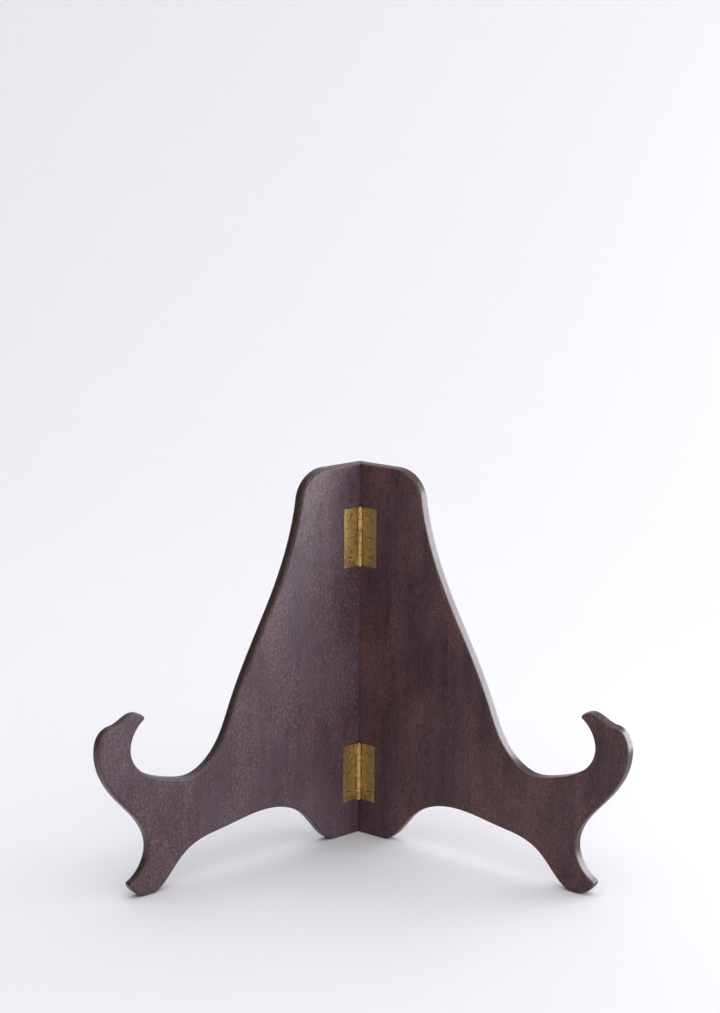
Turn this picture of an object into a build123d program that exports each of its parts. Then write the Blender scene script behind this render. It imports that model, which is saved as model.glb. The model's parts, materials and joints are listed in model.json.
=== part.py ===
from build123d import *
import os
from math import cos, radians, sin, tan

# Folding plate display stand: two fretted boards that open like a book about a
# vertical line at the back, on two brass butt hinges. Units are millimetres, +Z is
# up, the viewer is at -Y, and the origin is on the floor, in the middle of the
# stand's outline.

# ---- driving dimensions -------------------------------------------------------
stance = 254.0          # between the contact points of the two front feet
splay = 38.0            # angle of each open board to the width line, degrees
board = 7.5             # thickness of a board
height = 245.0          # top of the uprights

fold_gap = 0.5          # between the inner faces when the stand is folded
mitre_gap = 0.1         # between the rear mitres when the stand is open

hinge_heights = {"lower": 42.0, "upper": 198.0}
hinge_length = 38.0     # along the pin
leaf_width = 12.5       # from the pin's axis to the leaf's free edge
leaf_thickness = 1.2
knuckle_count = 5       # the left leaf has the first, the third and the fifth
knuckle_radius = 2.0
knuckle_gap = 0.3       # between two knuckles, along the pin
knuckle_relief = 0.3    # around a knuckle, in whatever it turns past
pin_radius = 1.0
pin_running_gap = 0.05
pin_head_radius = 1.5
pin_head_length = 0.5

screw_pitch = 12.5      # between screws, along the pin
screw_offset = 7.6      # from the pin's axis
screw_length = 6.2
screw_radius = 1.1
screw_point = 1.6       # length of the tapered point
screw_head_radius = 2.2
screw_gap = 0.03        # around a screw
screw_tip_radius = 0.25
head_angle = 90.0       # of the countersink, degrees
head_sink = 0.05        # of the head below the leaf's face
slot_width = 0.55
slot_depth = 0.6
slot_turn_step = 35.0   # the slots stand at different angles, degrees

# ---- worked out from them -----------------------------------------------------
turn = radians(splay)
reach = stance / 2 / cos(turn)              # pin axis to front foot, along a board
face_gap = fold_gap / 2                     # pin axis to an inner face
relief_radius = knuckle_radius + knuckle_relief
knuckle_pitch = hinge_length / knuckle_count
head_depth = (screw_head_radius - screw_radius) / tan(radians(head_angle / 2))
screw_rows = {"top": screw_pitch, "middle": 0.0, "bottom": -screw_pitch}
sides = {"left": -1, "right": 1}

# ---- outline of a board: (along the board, height) ----------------------------
# The front arm's points are measured from its foot's contact point.
sole_half = 2.5                                         # flat under the front foot
heel = [(-54.0, 29.0), (-36.0, 25.6), (-26.0, 20.6), (-17.5, 12.5), (-11.6, 6.0), (-7.0, 2.1)]
toe = (14.8, 9.5)
instep = [(6.0, 16.2), (1.0, 30.5), (6.8, 46.5), (19.8, 62.0), (31.0, 78.5)]
front_bulge = (34.9, 93.5)
shoulder_crown = (32.3, 105.4)
shoulder = (25.0, 110.3)
lip_crown = [(17.5, 112.6), (9.5, 115.7), (4.4, 114.6)]
lip_tip = (1.4, 111.6)
notch = [(9.3, 103.8), (12.1, 92.5), (7.4, 81.8), (-2.0, 75.0), (-16.0, 70.0)]
# The other points are measured from the pin's axis.
seat = (131.0, 68.0)                                    # lowest point behind the notch
upright = [(112.0, 79.0), (98.0, 106.0), (81.0, 141.0), (63.0, 175.0), (51.0, 206.0)]
upright_top = (46.5, 226.0)
crown_start = 26.0                                      # end of the level top
rear_sole = 20.0                                        # end of the flat under the back
rear_foot = [(24.0, 1.2), (32.0, 8.5), (43.0, 21.5), (58.0, 30.5)]
arch_top = (80.0, 33.0)
mitre_overrun = 2.0                                     # cut off again by the mitre

# The front-most point is the inner arris of the bulge, and the rear-most is the
# outer end of the mitre, so the pins stand this far behind the origin.
front_reach = (reach + front_bulge[0]) * sin(turn) - face_gap * cos(turn)
rear_reach = (board + face_gap) / cos(turn) - mitre_gap / 2 * tan(turn)
pin_y = (front_reach - rear_reach) / 2


def along(points):
    """Move points of the front arm out to their place along the board."""
    return [(reach + x, z) for x, z in points]


def fold_plane(side):
    """Upright plane through the pins: x out along one board, y up."""
    out = Vector(side * cos(turn), -sin(turn), 0)
    return Plane(origin=(0, pin_y, 0), x_dir=out, z_dir=out.cross(Vector(0, 0, 1)))


def into_wood(side, depth):
    """The fold plane moved by a depth towards the outer face of one board."""
    return fold_plane(side).offset(-side * depth)


def screw_plane(side, screw_height):
    """Plane at a screw's place on the inner face: x up, y out of the wood."""
    place = into_wood(side, face_gap)
    out_of_wood = place.z_dir * side
    return Plane(origin=place.from_local_coords((screw_offset, screw_height, 0)),
                 x_dir=(0, 0, 1), z_dir=Vector(0, 0, 1).cross(out_of_wood))


def write(piece, name):
    """Label a finished piece and write its file."""
    piece.label = name
    export_step(piece, f"parts/{name}.step")


def make_board(side):
    """One fretted board, with its hinge beds, barrel reliefs and screw holes."""
    inner = into_wood(side, face_gap)
    wood = -side * board
    with BuildPart() as body:
        with BuildSketch(inner):
            with BuildLine():
                sole = Line(*along([(-sole_half, 0), (sole_half, 0)]))
                TangentArc(sole @ 1, *along([toe]), tangent=(1, 0))
                Spline(*along([toe, *instep, front_bulge, shoulder_crown, shoulder]))
                Spline(*along([shoulder, *lip_crown, lip_tip]))
                Spline(*along([lip_tip, *notch]), seat, *upright, upright_top)
                TangentArc((crown_start, height), upright_top, tangent=(1, 0))
                Polyline((crown_start, height), (-board - mitre_overrun, height),
                         (-board - mitre_overrun, 0), (rear_sole, 0))
                Spline((rear_sole, 0), *rear_foot, arch_top, *along(heel), sole @ 0)
            make_face()
        extrude(amount=wood)
        # Rear mitre, in the plane of symmetry.
        with BuildSketch(Plane.YZ.offset(side * mitre_gap / 2)):
            Rectangle(2 * stance, 4 * height)
        extrude(amount=-side * stance, mode=Mode.SUBTRACT)
        for middle in hinge_heights.values():
            # Bed for the leaf, as deep as the leaf is thick.
            with BuildSketch(inner):
                with Locations((leaf_width / 2, middle)):
                    Rectangle(leaf_width, hinge_length)
            extrude(amount=-side * leaf_thickness, mode=Mode.SUBTRACT)
            # Round relief for the barrel and the pin's heads.
            relief_length = hinge_length + 2 * (pin_head_length + knuckle_relief)
            with BuildSketch(Plane((0, pin_y, middle - relief_length / 2))):
                Circle(relief_radius)
            extrude(amount=relief_length, mode=Mode.SUBTRACT)
            # Pilot holes.
            with BuildSketch(into_wood(side, face_gap + leaf_thickness / 2)):
                with Locations(*[(screw_offset, middle + row) for row in screw_rows.values()]):
                    Circle(screw_radius + screw_gap)
            extrude(amount=-side * (screw_length + screw_gap - leaf_thickness / 2),
                    mode=Mode.SUBTRACT)
    return body.part


def make_leaf(side, middle):
    """One brass leaf with its knuckles, bored for the pin and sunk for the screws."""
    own = range(0, knuckle_count, 2) if side < 0 else range(1, knuckle_count, 2)
    foot = middle - hinge_length / 2
    with BuildPart() as leaf:
        with BuildSketch(into_wood(side, face_gap)):
            with Locations((leaf_width / 2, middle)):
                Rectangle(leaf_width, hinge_length)
        extrude(amount=-side * leaf_thickness)
        for number in range(knuckle_count):
            # This leaf's own knuckles, and room for the other leaf's between them.
            mine = number in own
            radius = knuckle_radius if mine else relief_radius
            margin = knuckle_gap / 2 * (-1 if mine else 1)
            start = foot + number * knuckle_pitch - margin
            with BuildSketch(Plane((0, pin_y, start))):
                Circle(radius)
            extrude(amount=knuckle_pitch + 2 * margin, mode=Mode.ADD if mine else Mode.SUBTRACT)
        with BuildSketch(Plane((0, pin_y, foot))):
            Circle(pin_radius + pin_running_gap)
        extrude(amount=hinge_length, mode=Mode.SUBTRACT)
        for row in screw_rows.values():
            drill = screw_plane(side, middle + row)
            with Locations(Plane(origin=drill.origin, x_dir=drill.x_dir, z_dir=drill.y_dir)):
                CounterSinkHole(screw_radius + screw_gap, screw_head_radius + head_sink + screw_gap,
                                counter_sink_angle=head_angle)
    return leaf.part


def make_pin(middle):
    """Hinge pin with a peened head at each end."""
    with BuildPart() as pin:
        for start, radius, length in (
            (-hinge_length / 2, pin_radius, hinge_length),
            (-hinge_length / 2 - pin_head_length, pin_head_radius, pin_head_length),
            (hinge_length / 2, pin_head_radius, pin_head_length),
        ):
            with BuildSketch(Plane((0, pin_y, middle + start))):
                Circle(radius)
            extrude(amount=length)
        tips = pin.edges().filter_by(GeomType.CIRCLE).sort_by(Axis.Z)
        chamfer([tips[0], tips[-1]], pin_head_length / 2)
    return pin.part


def make_screw(side, screw_height, slot_turn):
    """Slotted countersunk wood screw, its head just under the leaf's face."""
    middle = screw_plane(side, screw_height)
    tip = -head_sink - screw_length
    with BuildPart() as screw:
        with BuildSketch(middle):
            with BuildLine():
                Polyline((0, tip), (0, -head_sink), (screw_head_radius, -head_sink),
                         (screw_radius, -head_sink - head_depth), (screw_radius, tip + screw_point),
                         (screw_tip_radius, tip), (0, tip))
            make_face()
        revolve(axis=Axis(middle.origin, middle.y_dir))
        head = Plane(origin=middle.origin, x_dir=middle.x_dir, z_dir=middle.y_dir)
        with BuildSketch(head.offset(-head_sink)):
            Rectangle(3 * screw_head_radius, slot_width, rotation=slot_turn)
        extrude(amount=-slot_depth, mode=Mode.SUBTRACT)
    return screw.part


os.makedirs("parts", exist_ok=True)
for name, side in sides.items():
    write(make_board(side), f"{name}_board")
for hinge, middle in hinge_heights.items():
    write(make_pin(middle), f"{hinge}_hinge_pin")
    for name, side in sides.items():
        write(make_leaf(side, middle), f"{hinge}_{name}_leaf")
        for number, (place, row) in enumerate(screw_rows.items()):
            slot_turn = slot_turn_step * (number + 1) * side
            write(make_screw(side, middle + row, slot_turn), f"{hinge}_{name}_{place}_screw")
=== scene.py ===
import json
from math import cos, radians, sin, tan

import bmesh
import bpy
from mathutils import Matrix, Vector

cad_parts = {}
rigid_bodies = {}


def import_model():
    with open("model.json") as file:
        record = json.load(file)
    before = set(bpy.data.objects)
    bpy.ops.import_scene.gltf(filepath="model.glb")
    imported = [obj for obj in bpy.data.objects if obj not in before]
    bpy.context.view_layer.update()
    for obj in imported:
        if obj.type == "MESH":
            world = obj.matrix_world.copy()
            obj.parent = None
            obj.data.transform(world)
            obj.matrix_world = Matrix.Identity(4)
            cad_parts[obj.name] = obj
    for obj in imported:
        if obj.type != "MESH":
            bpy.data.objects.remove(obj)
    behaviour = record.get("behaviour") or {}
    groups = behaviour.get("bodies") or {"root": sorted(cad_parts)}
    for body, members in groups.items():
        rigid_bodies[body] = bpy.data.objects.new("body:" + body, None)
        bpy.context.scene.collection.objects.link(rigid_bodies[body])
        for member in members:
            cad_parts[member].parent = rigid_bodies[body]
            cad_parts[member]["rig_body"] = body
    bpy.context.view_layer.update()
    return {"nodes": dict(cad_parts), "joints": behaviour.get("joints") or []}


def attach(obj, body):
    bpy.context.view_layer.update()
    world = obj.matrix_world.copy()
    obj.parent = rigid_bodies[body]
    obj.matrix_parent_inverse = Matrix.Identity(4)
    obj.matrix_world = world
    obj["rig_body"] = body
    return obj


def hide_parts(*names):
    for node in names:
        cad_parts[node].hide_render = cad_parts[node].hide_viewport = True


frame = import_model()
for leftover in ("Cube", "Light", "Camera"):
    if leftover in bpy.data.objects:
        bpy.data.objects.remove(bpy.data.objects[leftover])

# Lengths are in metres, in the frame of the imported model: +Z up, the viewer at -Y.
MM = 0.001
FOLD = next(joint for joint in frame["joints"] if joint["name"] == "fold")
HINGE_Y = FOLD["pos_m"][1]
SPLAY = radians(90 - FOLD["range_deg"][1] / 2)      # of each open board to the width line
SIDES = {"left": -1, "right": 1}
BOARD = 7.5 * MM                                    # thickness
FACE_GAP = 0.25 * MM                                # from the fold's middle plane to a board
ARRIS = 1.5 * MM                                    # rounding of the boards' outline
ARRIS_STEPS = 5
CORNER = 1.7 * MM                                   # rounding of the lip's and the toe's ends
CORNER_STEPS = 8
CORNER_LIMIT = radians(130)                         # sharper corners than this are rounded
CORNER_ROOM = 1.15                                  # times an arc's reach: nearer points are dropped
SKIN = 0.01 * MM                                    # slab inside the CAD board's faces
WALL_SKIN = 0.08 * MM                               # and inside its edge walls
MITRE_OVERRUN = 20 * MM                             # slab behind the pins, cut off again
BRASS_ARRIS = 0.06 * MM                             # rounding of the brass pieces' edges
BARREL = 3 * MM                                     # from the pins' axis to flat brass
WELD = 0.001 * MM                                   # vertices nearer than this are one
IN_PLANE = 0.01 * MM                                # a vertex this near a face's plane is on it
FLAT_WOOD, FLAT_BRASS = radians(0.05), radians(0.5)     # bends that count as flat
SHARP = radians(40)                                 # bends that count as an edge


# ---- places on a board ----------------------------------------------------------
def along(side):
    """Direction from the hinge out along one board."""
    return Vector((side * cos(SPLAY), -sin(SPLAY), 0))


def into(side):
    """Direction through one board, from its inner to its outer face."""
    return Vector((side * sin(SPLAY), cos(SPLAY), 0))


def board_coordinates(side, point):
    """Distance along the board, depth behind its inner face, and height."""
    offset = point - Vector((0, HINGE_Y, 0))
    return offset.dot(along(side)), offset.dot(into(side)) - FACE_GAP, point.z


# ---- node graphs ----------------------------------------------------------------
class Graph:
    """A material's nodes, made one call at a time."""

    def __init__(self, name):
        self.material = bpy.data.materials.new(name)
        self.material.use_nodes = True
        self.tree = self.material.node_tree
        self.tree.nodes.clear()

    def node(self, kind, settings=None, **inputs):
        """Add a node. Inputs go by their names, with _ for a space."""
        made = self.tree.nodes.new(kind)
        for key, value in (settings or {}).items():
            setattr(made, key, value)
        for key, value in inputs.items():
            self.feed(made.inputs[key.replace("_", " ")], value)
        return made

    def feed(self, socket, value):
        """Give an input another node's output or a plain value."""
        if isinstance(value, bpy.types.NodeSocket):
            self.tree.links.new(value, socket)
        else:
            socket.default_value = value

    def math(self, operation, first, second=0.0):
        """The result of one sum on two values."""
        made = self.node("ShaderNodeMath", {"operation": operation})
        self.feed(made.inputs[0], first)
        self.feed(made.inputs[1], second)
        return made.outputs[0]

    def blend(self, share, first, second):
        """The first colour with a share of the second laid over it."""
        made = self.node("ShaderNodeMix", {"data_type": "RGBA"})
        self.feed(made.inputs[0], share)
        for socket, value in zip((made.inputs[6], made.inputs[7]), (first, second)):
            self.feed(socket, value if isinstance(value, bpy.types.NodeSocket) else (*value, 1))
        return made.outputs[2]

    def steps(self, value, low, high, start=0.0, end=1.0):
        """Smooth step of a value, from start below low to end above high."""
        made = self.node("ShaderNodeMapRange", {"interpolation_type": "SMOOTHSTEP"})
        for socket, number in zip(made.inputs, (value, low, high, start, end)):
            self.feed(socket, number)
        return made.outputs[0]

    def placed(self, turn=0.0, stretch=(1, 1, 1), shift=(0, 0, 0)):
        """The piece's own coordinates, turned about Z and shifted, then stretched."""
        place = self.node("ShaderNodeTexCoord").outputs["Object"]
        turned = self.node("ShaderNodeMapping", {"vector_type": "POINT"}, Vector=place,
                           Location=shift, Rotation=(0, 0, turn)).outputs[0]
        return self.node("ShaderNodeMapping", Vector=turned, Scale=stretch).outputs[0]

    def noise(self, place, detail=2.0, roughness=0.5, distortion=0.0):
        """Noise from 0 to 1, about one cell to each unit of the coordinates."""
        return self.node("ShaderNodeTexNoise", Vector=place, Scale=1.0, Detail=detail,
                         Roughness=roughness, Distortion=distortion).outputs["Fac"]

    def finish(self, **inputs):
        """Close the graph with one shader, and give the material back."""
        shader = self.node("ShaderNodeBsdfPrincipled", **inputs)
        self.node("ShaderNodeOutputMaterial", Surface=shader.outputs[0])
        return self.material


# ---- materials ------------------------------------------------------------------
DEEP_STAIN = (0.033, 0.0135, 0.0165)
MID_STAIN = (0.074, 0.031, 0.033)
RUDDY_STAIN = (0.112, 0.042, 0.036)
PALE_FLECK = (0.23, 0.155, 0.145)
PORE = (0.012, 0.006, 0.007)
# Edge walls: deeper stain together with painted shade.
WALL_STAIN_AND_SHADE = (0.027, 0.013, 0.007)
PAINTED_SHEEN = (0.32, 0.25, 0.36)                           # painted sheen: the reflection of the bright room on the inner face
RUBBED = (0.17, 0.090, 0.062)
BRASS = (0.52, 0.35, 0.125)
BRIGHT_BRASS = (0.70, 0.51, 0.22)
TARNISH = (0.23, 0.135, 0.05)
BRASS_SPOT = (0.09, 0.05, 0.022)
GRIME = (0.035, 0.022, 0.012)
SWEEP = (0.80, 0.795, 0.82)

# Turned by side * SPLAY, a piece's own X runs along its board and its Y into the wood.
FACE_Y = HINGE_Y * cos(SPLAY) + FACE_GAP            # of the board's inner face


def board_zones(graph, turn):
    """Masks of a board's inner face, its edge walls, and the arrises between."""
    place = graph.node("ShaderNodeSeparateXYZ", Vector=graph.placed(turn)).outputs["Y"]
    # The inner mask falls to 0 in the middle of the board.
    inner = graph.steps(graph.math("SUBTRACT", place, FACE_Y), ARRIS / 2, BOARD / 2, 1.0, 0.0)
    from_middle = graph.math("ABSOLUTE", graph.math("SUBTRACT", place, FACE_Y + BOARD / 2))
    wall = graph.steps(from_middle, BOARD / 2 - ARRIS, BOARD / 2 - ARRIS * 0.15, 1.0, 0.0)
    # The arris mask is 1 where the wall's is a half.
    halves = graph.math("MULTIPLY", wall, graph.math("SUBTRACT", 1.0, wall))
    return inner, wall, graph.math("MULTIPLY", halves, 4)


def wood_material(name, side, ruddiness, fleck, painted_sheen_share, shift):
    """Dark stained hardwood: upright grain, open pores, eased and rubbed edges, with painted shade
    on the edge walls and a painted sheen on the inner face.
    """
    graph = Graph(name)
    turn = side * SPLAY                             # brings the board's length onto X

    def grain(across, up, offset=0.0):
        """Coordinates for noise, in cells per metre across the grain and up it."""
        return graph.placed(turn, (across, across, up), (shift + offset, 0, shift))

    def broad(across, up, offset):
        """The same, for what has nothing to do with the grain."""
        return graph.placed(turn, (across, across, up), (shift, 0, offset))

    bands = graph.noise(grain(150, 9), detail=3, roughness=0.55, distortion=0.4)
    clouds = graph.noise(grain(45, 14, 3), detail=2)
    figure = graph.noise(grain(480, 95, 13), detail=3, roughness=0.6)
    fibres = graph.noise(grain(1250, 290), detail=3, roughness=0.65)
    dashes = graph.noise(grain(1900, 230, 9), detail=1.5, roughness=0.5)
    flecks = graph.noise(grain(1350, 560, 17), detail=2, roughness=0.7)
    strands = graph.noise(grain(5200, 260, 21), detail=2)
    smears = graph.noise(broad(34, 20, 7), detail=4, roughness=0.6)
    patches = graph.noise(broad(130, 60, 2), detail=4)
    waves = graph.noise(broad(60, 45, 4), detail=2)
    inner, wall, arris = board_zones(graph, turn)

    colour = graph.blend(graph.steps(bands, 0.3, 0.7), DEEP_STAIN, MID_STAIN)
    colour = graph.blend(graph.math("MULTIPLY", graph.steps(clouds, 0.4, 0.72), ruddiness),
                         colour, RUDDY_STAIN)
    colour = graph.blend(graph.steps(figure, 0.4, 0.75, 0.0, 0.45), colour, RUDDY_STAIN)
    colour = graph.blend(graph.steps(fibres, 0.30, 0.55, 0.35, 0.0), colour, DEEP_STAIN)
    density = graph.math("MULTIPLY", graph.steps(clouds, 0.36, 0.62, 0.5, 1.5),
                         graph.steps(strands, 0.36, 0.60, 0.45, 1.0))
    density = graph.math("MULTIPLY", density, graph.steps(inner, 0.0, 1.0, 0.5, 1.0))
    light_flecks = graph.math("MULTIPLY", graph.steps(flecks, 0.46, 0.70, 0.0, fleck), density)
    colour = graph.blend(light_flecks, colour, PALE_FLECK)
    pores = graph.steps(dashes, 0.58, 0.68)
    colour = graph.blend(graph.math("MULTIPLY", pores, 0.6), colour, PORE)

    # The edge walls are painted darker. This is partly stain that soaks in deeper, and partly
    # painted shade for walls that turn away from the light.
    colour = graph.blend(graph.math("MULTIPLY", wall, 0.85), colour, WALL_STAIN_AND_SHADE)
    # Painted sheen: a pale bluish wash in smears on the inner face stands in for its reflection of
    # the bright surroundings.
    painted_sheen_mask = graph.math("MULTIPLY", inner, graph.steps(smears, 0.35, 0.65, painted_sheen_share * 0.5, painted_sheen_share))
    colour = graph.blend(painted_sheen_mask, colour, PAINTED_SHEEN)
    # Handling rubs the stain thin on the arrises.
    rubbed = graph.math("MULTIPLY", arris, graph.steps(patches, 0.46, 0.66, 0.12, 0.75))
    colour = graph.blend(rubbed, colour, RUBBED)

    # The polish is dull in the pores and bright on the edge walls.
    rough = graph.steps(smears, 0.3, 0.7, 0.36, 0.50)
    rough = graph.math("ADD", rough, graph.math("MULTIPLY", pores, 0.18))
    rough = graph.math("SUBTRACT", rough, graph.math("MULTIPLY", wall, 0.14))

    relief = graph.math("SUBTRACT", graph.math("MULTIPLY", fibres, 0.55), pores)
    relief = graph.math("ADD", relief, graph.math("MULTIPLY", flecks, 0.4))
    bump = graph.node("ShaderNodeBump", Height=relief, Strength=0.35, Distance=0.08 * MM)
    bump = graph.node("ShaderNodeBump", Height=waves, Strength=0.5, Distance=0.25 * MM,
                      Normal=bump.outputs[0])
    return graph.finish(Base_Color=colour, Roughness=rough, Normal=bump.outputs[0], IOR=1.37)


def brass_material(name, side, polish):
    """Solid brass, brushed along the hinge and tarnished, with grime in its recesses."""
    graph = Graph(name)
    brushed = graph.noise(graph.placed(0, (7000, 7000, 260)), detail=3, roughness=0.6)
    stains = graph.noise(graph.placed(0, (420, 420, 300)), detail=5, roughness=0.65)
    spots = graph.noise(graph.placed(0, (1900, 1900, 1700), (1, 0, 0)), detail=2)
    colour = graph.blend(graph.steps(brushed, 0.3, 0.7), BRASS, BRIGHT_BRASS)
    tarnish = graph.steps(stains, 0.42, 0.72, 0.0, 1 - polish)
    colour = graph.blend(tarnish, colour, TARNISH)
    colour = graph.blend(graph.steps(spots, 0.64, 0.74, 0.0, 0.6), colour, BRASS_SPOT)
    rough = graph.math("ADD", graph.steps(stains, 0.3, 0.75, 0.24, 0.46),
                       graph.math("MULTIPLY", brushed, 0.1))
    if side:
        # Slots and countersinks hold grime: they lie below the leaf's face, off the barrel.
        place = graph.node("ShaderNodeSeparateXYZ", Vector=graph.placed(side * SPLAY))
        below = graph.steps(graph.math("SUBTRACT", place.outputs["Y"], FACE_Y),
                            0.07 * MM, 0.30 * MM, 0.0, 0.85)
        reach = graph.math("ADD", graph.math("MULTIPLY", place.outputs["X"], side),
                           HINGE_Y * sin(SPLAY))
        grime = graph.math("MULTIPLY", below, graph.math("GREATER_THAN", reach, BARREL))
        colour = graph.blend(grime, colour, GRIME)
        rough = graph.math("ADD", rough, graph.math("MULTIPLY", grime, 0.3))
    bump = graph.node("ShaderNodeBump", Height=brushed, Strength=0.3, Distance=0.03 * MM)
    return graph.finish(Base_Color=colour, Roughness=rough, Normal=bump.outputs[0], Metallic=1.0)


# ---- pieces ---------------------------------------------------------------------
def welded_copy(node, flat_angle):
    """The node's mesh with its seams welded and its flat areas made single faces."""
    mesh = bmesh.new()
    mesh.from_mesh(frame["nodes"][node].data)
    bmesh.ops.remove_doubles(mesh, verts=mesh.verts, dist=WELD)
    bmesh.ops.dissolve_limit(mesh, angle_limit=flat_angle, verts=mesh.verts,
                             edges=mesh.edges, use_dissolve_boundaries=False)
    mesh.normal_update()
    return mesh


def apply_modifiers(piece):
    """Make what the modifiers give the piece's own mesh."""
    graph = bpy.context.evaluated_depsgraph_get()
    data = bpy.data.meshes.new_from_object(piece.evaluated_get(graph))
    data.name = piece.name
    piece.modifiers.clear()
    piece.data = data


def new_piece(mesh, name):
    """An object made from a finished bmesh."""
    data = bpy.data.meshes.new(name)
    mesh.to_mesh(data)
    mesh.free()
    piece = bpy.data.objects.new(name, data)
    bpy.context.scene.collection.objects.link(piece)
    return piece


def put_in_place(piece, node, material):
    """Shade the piece and let it stand for its node."""
    piece.data.materials.clear()
    piece.data.materials.append(material)
    piece.data.shade_smooth()
    piece.data.set_sharp_from_angle(angle=SHARP)
    piece.modifiers.new("flat faces", "WEIGHTED_NORMAL").keep_sharp = True
    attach(piece, frame["nodes"][node]["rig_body"])
    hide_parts(node)


def outline(mesh, side):
    """Corners of a board's outer face: distance along the board and height."""
    corners = {vertex: board_coordinates(side, vertex.co) for vertex in mesh.verts}
    outer = [face for face in mesh.faces
             if all(abs(corners[vertex][1] - BOARD) < IN_PLANE for vertex in face.verts)]
    whole = max(outer, key=lambda face: face.calc_area())
    points = [Vector((corners[vertex][0], corners[vertex][2])) for vertex in whole.verts]
    # The rear end runs on past the mitre, which the CAD shape cuts.
    return [point if point.x > 0 else Vector((-MITRE_OVERRUN, point.y)) for point in points]


def winding(points):
    """1 for an outline that runs anticlockwise, -1 for the other way."""
    area = sum(first.cross(second) for first, second in zip(points, points[1:] + points[:1]))
    return 1 if area > 0 else -1


def eased(points, radius):
    """A closed outline with the sharp corners of the lip and the toe rounded."""
    count, way = len(points), winding(points)
    arcs, dropped = {}, set()
    for number, corner in enumerate(points):
        back = points[number - 1] - corner
        ahead = points[(number + 1) % count] - corner
        hollow = back.cross(ahead) * way > 0
        if corner.x < 0 or hollow or back.angle(ahead) > CORNER_LIMIT:
            continue
        # Points near the corner give way to the arc, and the next ones give its directions.
        room = CORNER_ROOM * radius / tan(back.angle(ahead) / 2)
        arms = []
        for step in (-1, 1):
            other = number + step
            while (points[other % count] - corner).length < room:
                dropped.add(other % count)
                other += step
            arms.append((points[other % count] - corner).normalized())
        half = arms[0].angle(arms[1]) / 2
        middle = corner + (arms[0] + arms[1]).normalized() * radius / sin(half)
        spoke = corner + arms[0] * radius / tan(half) - middle
        sweep = way * (radians(180) - 2 * half)
        arcs[number] = [middle + Matrix.Rotation(sweep * step / CORNER_STEPS, 2) @ spoke
                        for step in range(CORNER_STEPS + 1)]
    return [point for number in range(count) if number not in dropped
            for point in arcs.get(number, [points[number]])]


def inset(points, distance):
    """A closed outline moved inwards by a distance."""
    way = winding(points)
    moved = []
    for before, point, after in zip(points[-1:] + points[:-1], points, points[1:] + points[:1]):
        runs = [(point - before).normalized(), (after - point).normalized()]
        inward = [Vector((-run.y, run.x)) * way for run in runs]
        both = inward[0] + inward[1]
        moved.append(point + both * distance / (1 + inward[0].dot(inward[1])))
    return moved


def rounded_slab(side, points):
    """The board's outline as a slab whose arrises are quarter circles."""
    mesh = bmesh.new()
    # (distance in from the outline, depth) over one arris, then back over the other.
    angles = [radians(90 * step / ARRIS_STEPS) for step in range(ARRIS_STEPS + 1)]
    profile = [(ARRIS * (1 - sin(angle)), ARRIS * (1 - cos(angle))) for angle in angles]
    profile += [(margin, BOARD - depth) for margin, depth in reversed(profile)]
    rings = []
    for margin, depth in profile:
        depth = min(max(depth, SKIN), BOARD - SKIN)
        ring = []
        for place, height in inset(points, WALL_SKIN + margin):
            spot = Vector((0, HINGE_Y, height)) + along(side) * place
            ring.append(mesh.verts.new(spot + into(side) * (FACE_GAP + depth)))
        rings.append(ring)
    for low, high in zip(rings, rings[1:]):
        for corner in range(len(points)):
            mesh.faces.new((low[corner - 1], low[corner], high[corner], high[corner - 1]))
    mesh.faces.new(rings[0])
    mesh.faces.new(rings[-1])
    bmesh.ops.recalc_face_normals(mesh, faces=mesh.faces)
    return mesh


def make_board(name, side, material):
    """One wooden board: the rounded slab, with the CAD shape's mitre, beds and holes."""
    node = f"{name}_board"
    shape = welded_copy(node, FLAT_WOOD)
    corners = eased(outline(shape, side), CORNER)
    piece = new_piece(rounded_slab(side, corners), f"{name}_board_wood")
    cad_shape = new_piece(shape, "cad_shape")
    cut = piece.modifiers.new("cad shape", "BOOLEAN")
    cut.operation = "INTERSECT"
    cut.solver = "EXACT"
    cut.object = cad_shape
    apply_modifiers(piece)
    bpy.data.objects.remove(cad_shape)
    put_in_place(piece, node, material)


def make_hardware(node, material):
    """One piece of brass with its sharp outer edges taken off."""
    mesh = welded_copy(node, FLAT_BRASS)
    layer = mesh.edges.layers.float.new("bevel_weight_edge")
    for edge in mesh.edges:
        if edge.calc_face_angle_signed() > SHARP:
            edge[layer] = 1.0
    piece = new_piece(mesh, f"{node}_brass")
    bevel = piece.modifiers.new("edges", "BEVEL")
    bevel.limit_method = "WEIGHT"
    bevel.width = BRASS_ARRIS
    bevel.segments = 2
    bevel.use_clamp_overlap = False
    apply_modifiers(piece)
    put_in_place(piece, node, material)


# ---- surroundings ---------------------------------------------------------------
def make_sweep():
    """A pale seamless floor that curves up into the backdrop."""
    front, back, half_width, top, radius, steps = -9.0, 1.6, 6.0, 3.2, 0.9, 24
    profile = [(front, 0.0)]
    for step in range(steps + 1):
        angle = radians(90 * step / steps)
        profile.append((back - radius + radius * sin(angle), radius - radius * cos(angle)))
    profile.append((back, top))
    mesh = bmesh.new()
    rows = [[mesh.verts.new((x, y, z)) for y, z in profile] for x in (-half_width, half_width)]
    for low, high in zip(range(len(profile)), range(1, len(profile))):
        mesh.faces.new((rows[0][low], rows[1][low], rows[1][high], rows[0][high]))
    data = bpy.data.meshes.new("sweep")
    mesh.to_mesh(data)
    mesh.free()
    data.shade_smooth()
    graph = Graph("pale_sweep")
    data.materials.append(graph.finish(Base_Color=(*SWEEP, 1), Roughness=0.9))
    sweep = bpy.data.objects.new("sweep", data)
    bpy.context.scene.collection.objects.link(sweep)


def aim(thing, target):
    """Turn a light towards a point."""
    direction = Vector(target) - thing.location
    thing.rotation_euler = direction.to_track_quat("-Z", "Y").to_euler()


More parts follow.
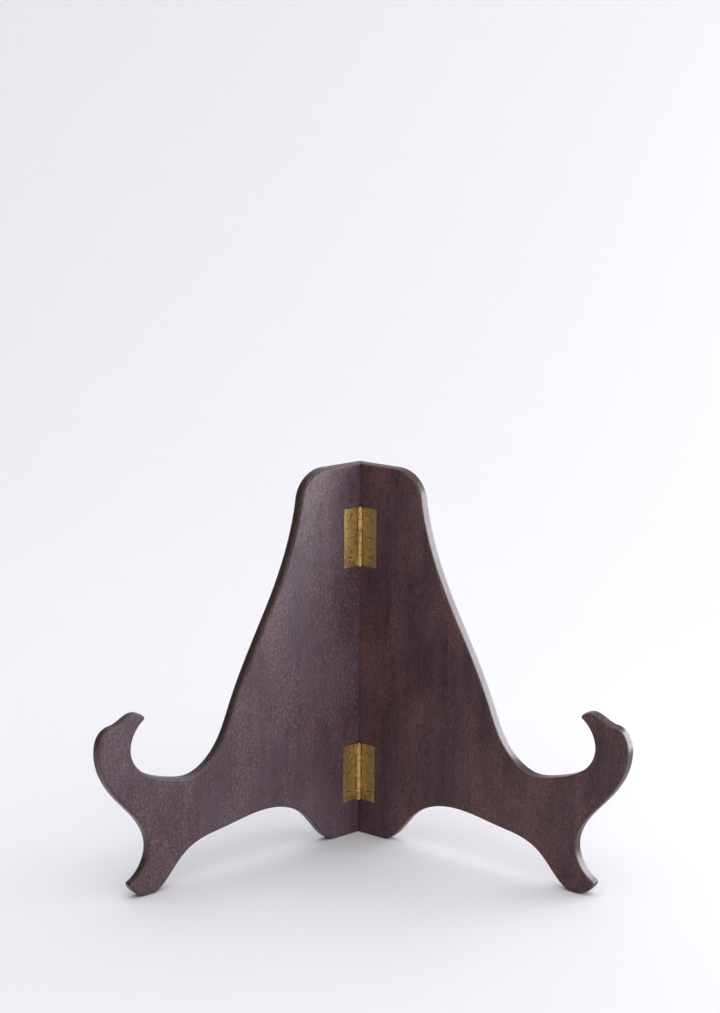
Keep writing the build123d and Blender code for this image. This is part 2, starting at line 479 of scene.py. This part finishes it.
def make_light(name, place, target, size, power, colour, glossy_only=False):
    """One soft rectangular light, which the camera itself doesn't see."""
    data = bpy.data.lights.new(name, "AREA")
    data.shape = "RECTANGLE"
    data.size, data.size_y = size
    data.energy = power
    data.color = colour
    light = bpy.data.objects.new(name, data)
    light.location = place
    light.visible_camera = False
    light.visible_diffuse = not glossy_only
    bpy.context.scene.collection.objects.link(light)
    aim(light, target)


def make_lights():
    """A low window to the right and a soft ceiling."""
    stand = (0, 0, 0.08)
    make_light("window", (1.5, 0.75, 0.7), (0.2, 0.5, 0.3), size=(1.2, 1.0), power=10,
               colour=(0.95, 0.965, 1.0))
    make_light("ceiling", (0.0, -0.3, 2.3), stand, size=(3.8, 3.4), power=56,
               colour=(1.0, 0.995, 1.0))
    # A bright card low on the right, for the gloss of the right edges and the left face.
    make_light("card", (0.5, 0.05, 0.17), stand, size=(0.7, 0.34), power=7,
               colour=(0.92, 0.93, 1.0), glossy_only=True)


def make_room():
    """Light from all round, which is weaker from the left."""
    room = bpy.data.worlds.new("room")
    room.use_nodes = True
    nodes, links = room.node_tree.nodes, room.node_tree.links
    direction = nodes.new("ShaderNodeTexCoord").outputs["Generated"]
    parts = nodes.new("ShaderNodeSeparateXYZ")
    links.new(direction, parts.inputs[0])
    strength = nodes.new("ShaderNodeMapRange")
    links.new(parts.outputs["X"], strength.inputs[0])
    for name, number in (("From Min", -0.9), ("From Max", 0.8), ("To Min", 0.10), ("To Max", 0.7)):
        strength.inputs[name].default_value = number
    background = nodes["Background"]
    links.new(strength.outputs[0], background.inputs["Strength"])
    background.inputs["Color"].default_value = (0.95, 0.95, 1.0, 1)
    bpy.context.scene.world = room


def make_camera():
    """The viewer stands 1.2 m in front, a little left, looking down 13 degrees."""
    data = bpy.data.cameras.new("camera")
    data.lens = 74.6
    camera = bpy.data.objects.new("camera", data)
    place = Matrix.Translation((-0.0357, -1.2273, 0.5135))
    level = Matrix.Rotation(radians(90), 4, "X")
    heading = Matrix.Rotation(radians(-1.59), 4, "Z")
    tilt = Matrix.Rotation(radians(-13.0), 4, "X")
    roll = Matrix.Rotation(radians(-0.35), 4, "Y")
    camera.matrix_world = place @ heading @ tilt @ roll @ level
    bpy.context.scene.collection.objects.link(camera)
    bpy.context.scene.camera = camera


# ---- run ------------------------------------------------------------------------
# The left board faces the window light, so its inner face gets the stronger painted sheen.
left_wood = wood_material("left_wood", SIDES["left"], ruddiness=0.45, fleck=0.72, painted_sheen_share=0.16,
                          shift=0.0)
right_wood = wood_material("right_wood", SIDES["right"], ruddiness=1.0, fleck=0.42, painted_sheen_share=0.05,
                           shift=11.0)
make_board("left", SIDES["left"], left_wood)
make_board("right", SIDES["right"], right_wood)
# The pins belong to neither side. Screwdrivers have kept the screws brighter.
brass = {}
for name, side in {"middle": 0, **SIDES}.items():
    brass[name, "leaf"] = brass_material(f"{name}_brass", side, polish=0.25)
    brass[name, "screw"] = brass_material(f"{name}_screw_brass", side, polish=0.75)
for node in sorted(frame["nodes"]):
    if not node.endswith("_board"):
        kind = "screw" if node.endswith("_screw") else "leaf"
        half = next((name for name in SIDES if f"_{name}_" in node), "middle")
        make_hardware(node, brass[half, kind])
make_sweep()
make_lights()
make_room()
make_camera()
bpy.context.scene.view_settings.view_transform = "Standard"
